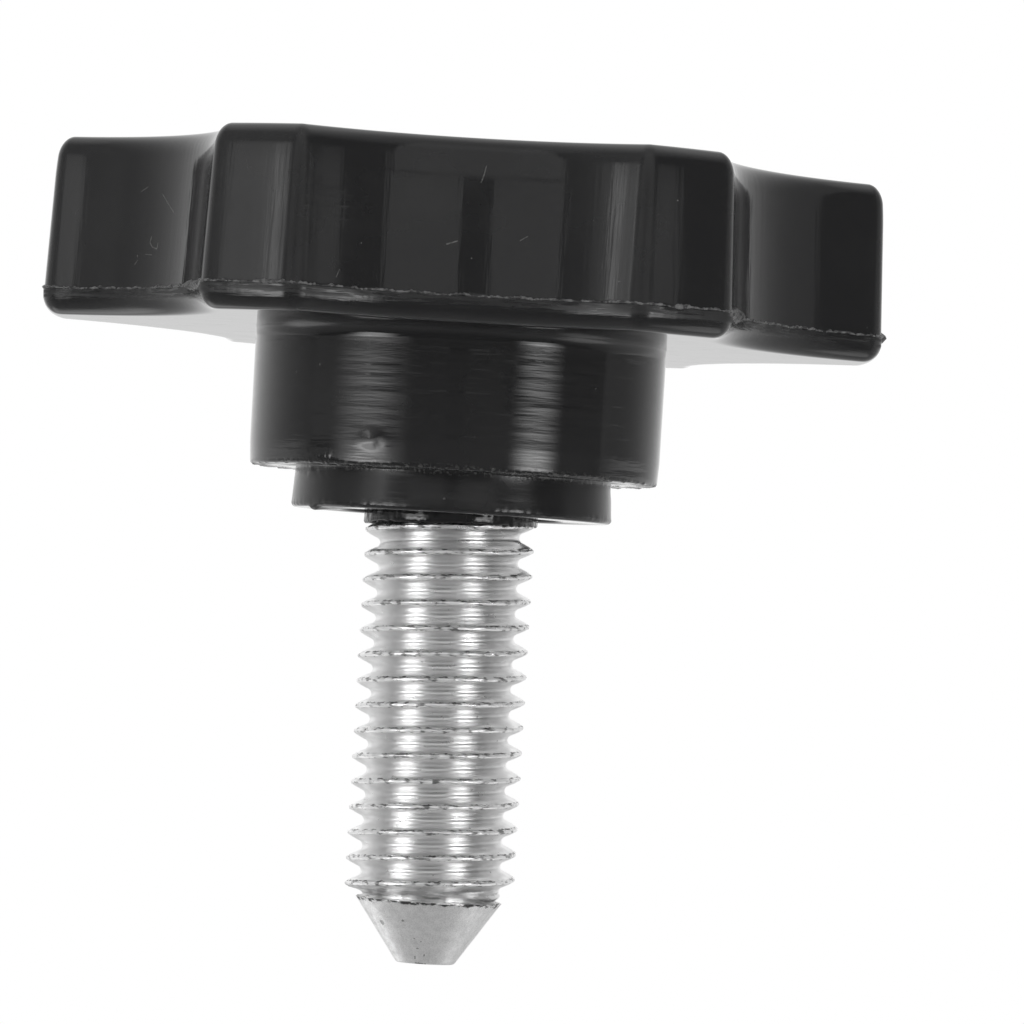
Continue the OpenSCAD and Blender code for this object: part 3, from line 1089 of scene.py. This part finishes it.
def heading(bearing, rise):
    """Unit vector at a bearing from -Y towards +X and an elevation, both in degrees."""
    b, e = math.radians(bearing), math.radians(rise)
    return Vector((math.sin(b) * math.cos(e), -math.cos(b) * math.cos(e), math.sin(e)))


def ease(value):
    """A smooth rise from 0 to 1."""
    share = min(max(value, 0), 1)
    return share * share * (3 - 2 * share)


def lamp_panel(name, bearings, rises, softness, radiance, distance, material):
    """A soft box seen from the origin between two bearings and two elevations, dimmer towards its edges."""
    points, strength = [], []
    for i in range(LAMP_STEPS + 1):
        bearing = bearings[0] + (bearings[1] - bearings[0]) * i / LAMP_STEPS
        across = ease(min(bearing - bearings[0], bearings[1] - bearing) / softness[0])
        for j in range(LAMP_STEPS + 1):
            rise = rises[0] + (rises[1] - rises[0]) * j / LAMP_STEPS
            upwards = ease(min((rise - rises[0]) / softness[1], (rises[1] - rise) / softness[2]))
            points.append(heading(bearing, rise) * distance)
            strength.append(radiance * across * upwards)
    faces = [[a, d, c, b] for a, b, c, d in quads(LAMP_STEPS + 1, LAMP_STEPS + 1, closed=False)]
    panel = new_piece(name, points, faces)
    panel.data.attributes.new("glow", "FLOAT", "POINT").data.foreach_set("value", strength)
    panel.data.materials.append(material)
    panel.visible_camera = False
    panel.visible_shadow = False
    return panel


def bare_tree(owner):
    """The emptied node tree of a material or a world."""
    owner.use_nodes = True
    owner.node_tree.nodes.clear()
    return owner.node_tree


def shaders(tree, kind, *sources, **settings):
    """Adds a node that joins shaders, and gives its output."""
    node = put(tree, kind, **settings)
    for source, socket in zip(sources, [socket for socket in node.inputs if socket.type == "SHADER"]):
        join(source, socket)
    return Field(node.outputs[0])


def panel_material():
    """Light with the strength that a panel's own attribute gives, added to what is behind it."""
    material = bpy.data.materials.new("soft_box")
    tree = bare_tree(material)
    glow = field(tree, "ShaderNodeAttribute", "Fac", attribute_name="glow")
    light = shaders(tree, "ShaderNodeEmission", Strength=glow)
    both = shaders(tree, "ShaderNodeAddShader", light, shaders(tree, "ShaderNodeBsdfTransparent"))
    put(tree, "ShaderNodeOutputMaterial", Surface=both)
    return material


def ray_kinds(tree):
    """A mask of the camera rays, and one of the glossy and transmission rays, which see reflections."""
    path = put(tree, "ShaderNodeLightPath")
    kinds = ("Is Camera Ray", "Is Glossy Ray", "Is Transmission Ray")
    camera, glossy, through = (Field(path.outputs[kind]) for kind in kinds)
    return camera, glossy.maths("ADD", through, clamp=True)


def build_world(studio):
    """A white backdrop round the back, a dim room in front of it and a plain level on matt surfaces."""
    world = bpy.data.worlds.new("studio")
    bpy.context.scene.world = world
    tree = bare_tree(world)
    x, y, z = field(tree, "ShaderNodeTexCoord", "Generated").parts()
    bearing = x.maths("ARCTAN2", y * -1.0) * (180 / math.pi)
    ends = (studio.backdrop_edge - BACKDROP_SOFTNESS, studio.backdrop_edge + BACKDROP_SOFTNESS)
    edge = abs(bearing).span(*ends)
    wrap = abs(bearing - BACKDROP_MIDDLE).span(*BACKDROP_WRAP, studio.backdrop_side, 1.0)
    front = bearing.span(*LEFT_FILL, studio.left_fill, 0.0) + studio.room
    ceiling = y.span(*CEILING_DEPTH, studio.ceiling, studio.ceiling_back) * z.span(*CEILING_RISE)
    camera, mirrored = ray_kinds(tree)
    room = blend(edge, front, wrap, "FLOAT").maths("MAXIMUM", ceiling).maths("MAXIMUM", camera)
    strength = blend(camera.maths("ADD", mirrored, clamp=True), studio.ambient, room, "FLOAT")
    light = shaders(tree, "ShaderNodeBackground", Color=grey(1), Strength=strength)
    put(tree, "ShaderNodeOutputWorld", Surface=light)


def floor_material():
    """Pale and matt near the object, white away from it, dimmer to gloss and clear from below."""
    material = bpy.data.materials.new("pale_floor")
    tree = bare_tree(material)
    x, y, _ = field(tree, "ShaderNodeTexCoord", "Object").parts()
    far = (x * x + y * y).maths("SQRT").span(*FLOOR_WHITENS)
    camera, mirrored = ray_kinds(tree)
    behind = y.span(-0.15, 0.1, 0.1, 0.45, smooth=False) + y.span(0.1, 0.7, 0.0, 0.37)
    white = shaders(tree, "ShaderNodeEmission", Strength=blend(mirrored, 1.0, behind, "FLOAT"))
    share = (far * camera.maths("ADD", mirrored, clamp=True)).maths("MAXIMUM", mirrored)
    matt = shaders(tree, "ShaderNodeBsdfDiffuse", Color=grey(0.86))
    lit = shaders(tree, "ShaderNodeMixShader", matt, white, Fac=share)
    below = field(tree, "ShaderNodeNewGeometry", "Backfacing")
    clear = shaders(tree, "ShaderNodeBsdfTransparent")
    put(tree, "ShaderNodeOutputMaterial", Surface=shaders(tree, "ShaderNodeMixShader", lit, clear, Fac=below))
    return material


def build_floor(studio):
    """A wide pale floor that takes the object's shadow, turns white away from it and is clear from below."""
    turns = np.linspace(0, math.tau, FLOOR_STEPS + 1)[:-1]
    rim = [(FLOOR_REACH * math.cos(a), FLOOR_REACH * math.sin(a), studio.floor) for a in turns]
    floor = new_piece("floor", rim, [range(FLOOR_STEPS)])
    floor.data.materials.append(floor_material())


def build_camera(studio):
    """A long lens a little below the hub, looking slightly up, as in the photograph."""
    data = bpy.data.cameras.new("camera")
    data.lens = studio.lens
    data.sensor_width = 36
    data.clip_start = 0.01
    data.clip_end = 50
    camera = bpy.data.objects.new("camera", data)
    bpy.context.scene.collection.objects.link(camera)
    place = heading(math.degrees(studio.bearing), 0) * studio.distance
    camera.location = place + Vector((0, 0, studio.height))
    look = Vector((0, math.cos(studio.tilt), math.sin(studio.tilt)))
    aim = (Matrix.Rotation(studio.bearing - studio.pan, 3, "Z") @ look).to_track_quat("-Z", "Y")
    camera.rotation_mode = "QUATERNION"
    camera.rotation_quaternion = aim @ Quaternion((0, 0, 1), studio.roll)
    bpy.context.scene.camera = camera


# Operators


class STARKNOB_OT_moulding(bpy.types.Operator):
    """Builds the moulded grip, hub and boss with the flash at the parting line"""

    bl_idname = "star_knob.moulding"
    bl_label = "Moulding"

    def execute(self, context):
        scene = context.scene
        grip, hub, finish = scene.star_knob_grip, scene.star_knob_hub, scene.star_knob_finish
        moulding = build_moulding(grip, hub)
        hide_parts("knob_body")
        flash = build_flash(grip)
        moulding.data.materials.append(plastic_material(finish, grip, hub))
        flash.data.materials.append(flash_material(finish))
        for piece in (moulding, flash):
            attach(piece, "root")
        moulding.modifiers.new("flat faces", "WEIGHTED_NORMAL").weight = 60
        return {"FINISHED"}


class STARKNOB_OT_stud(bpy.types.Operator):
    """Builds the threaded stud with its rolled thread and turned point"""

    bl_idname = "star_knob.stud"
    bl_label = "Stud"

    def execute(self, context):
        scene = context.scene
        stud, hub, finish = scene.star_knob_stud, scene.star_knob_hub, scene.star_knob_finish
        piece = build_stud(stud, hub)
        piece.data.materials.append(thread_material(finish, stud))
        piece.data.materials.append(point_material(finish, stud))
        for face in piece.data.polygons:
            if face.center.z < stud.point_top - 0.03 * MM:
                face.material_index = 1
        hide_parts("threaded_stud")
        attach(piece, "root")
        return {"FINISHED"}


class STARKNOB_OT_studio(bpy.types.Operator):
    """Builds the camera, the floor, the white background and the soft boxes"""

    bl_idname = "star_knob.studio"
    bl_label = "Studio"

    def execute(self, context):
        studio = context.scene.star_knob_studio
        build_camera(studio)
        build_world(studio)
        build_floor(studio)
        glow = panel_material()
        for lamp in LAMPS:
            lamp_panel(*lamp, studio.lamp_distance, glow)
        for lamp in LOW_LAMPS:
            lamp_panel(*lamp, glow).visible_diffuse = False
        context.scene.view_settings.view_transform = "Standard"
        return {"FINISHED"}


class STARKNOB_PT_panel(bpy.types.Panel):
    """Lists the parts of the knob and their sizes"""

    bl_idname = "STARKNOB_PT_panel"
    bl_label = "Star Knob"
    bl_space_type = "VIEW_3D"
    bl_region_type = "UI"
    bl_category = "Star Knob"

    def draw(self, context):
        layout = self.layout
        for operator in OPERATORS:
            layout.operator(operator.bl_idname)
        for name in SETTINGS:
            settings = getattr(context.scene, name)
            box = layout.box()
            box.label(text=settings.bl_rna.description)
            for key in settings.__annotations__:
                box.prop(settings, key)


SETTINGS = {
    "star_knob_grip": GripSizes,
    "star_knob_hub": HubSizes,
    "star_knob_stud": StudSizes,
    "star_knob_finish": Finish,
    "star_knob_studio": Studio,
}
OPERATORS = (STARKNOB_OT_moulding, STARKNOB_OT_stud, STARKNOB_OT_studio)


def register():
    """Registers the classes and gives the scene its settings."""
    for group in (*SETTINGS.values(), *OPERATORS, STARKNOB_PT_panel):
        bpy.utils.register_class(group)
    for name, group in SETTINGS.items():
        setattr(bpy.types.Scene, name, bpy.props.PointerProperty(type=group))


def unregister():
    """Takes the settings and the classes away again."""
    for name in SETTINGS:
        delattr(bpy.types.Scene, name)
    for group in (STARKNOB_PT_panel, *reversed(OPERATORS), *SETTINGS.values()):
        bpy.utils.unregister_class(group)


def main():
    """Builds everything in order."""
    register()
    bpy.ops.star_knob.moulding()
    bpy.ops.star_knob.stud()
    bpy.ops.star_knob.studio()


if __name__ == "__main__":
    main()
